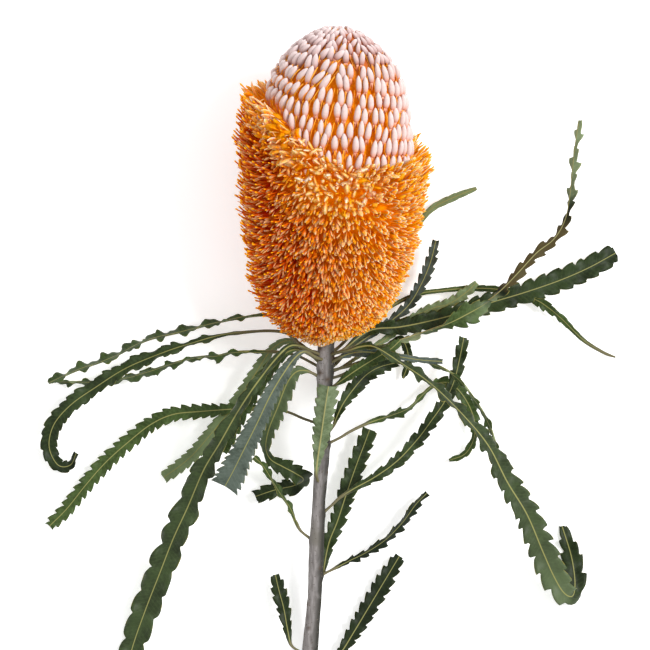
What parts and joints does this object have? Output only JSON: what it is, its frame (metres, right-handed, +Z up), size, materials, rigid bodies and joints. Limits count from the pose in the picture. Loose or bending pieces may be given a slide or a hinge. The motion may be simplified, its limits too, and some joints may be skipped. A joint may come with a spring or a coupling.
{
  "type": "banksia flower",
  "caption": "Cut banksia flower laid on its side: woody stem, cone of orange florets under a dome of pale buds, and narrow saw-toothed leaves.",
  "frame": {"origin": "on the surface that the flower lies on, in the middle of the flat spot under the head, which is under its weight", "axes": "+Y from the cut end of the stem towards the tip of the head, +X to the right seen from above, +Z up off the surface"},
  "size_m": [0.2327, 0.2702, 0.0769],
  "materials": {
    "stem_bark": "rough bark",
    "floret_orange": "soft, matt",
    "bud_pink": "downy, matt",
    "leaf_dark": "leathery, dull sheen",
    "leaf_green": "leathery, dull sheen",
    "leaf_grey": "matt",
    "leaf_pale": "matt"
  },
  "bodies": {
    "root": {"stem": "stem_bark", "open_florets": "floret_orange", "bud_florets": "bud_pink", "leaf_01": "leaf_green", "leaf_02": "leaf_dark", "leaf_03": "leaf_green", "leaf_04": "leaf_green", "leaf_05": "leaf_pale", "leaf_06": "leaf_dark", "leaf_07": "leaf_green", "leaf_08": "leaf_grey", "leaf_09": "leaf_dark", "leaf_10": "leaf_green", "leaf_11": "leaf_dark", "leaf_12": "leaf_pale", "leaf_13": "leaf_dark", "leaf_14": "leaf_green", "leaf_15": "leaf_grey", "leaf_16": "leaf_green", "leaf_17": "leaf_pale", "leaf_18": "leaf_pale", "leaf_19": "leaf_dark", "leaf_20": "leaf_green", "leaf_21": "leaf_grey", "leaf_22": "leaf_green", "leaf_23": "leaf_dark", "leaf_24": "leaf_green", "leaf_25": "leaf_dark", "leaf_26": "leaf_dark", "leaf_27": "leaf_dark", "leaf_28": "leaf_dark", "leaf_29": "leaf_dark"}
  },
  "joints": []
}
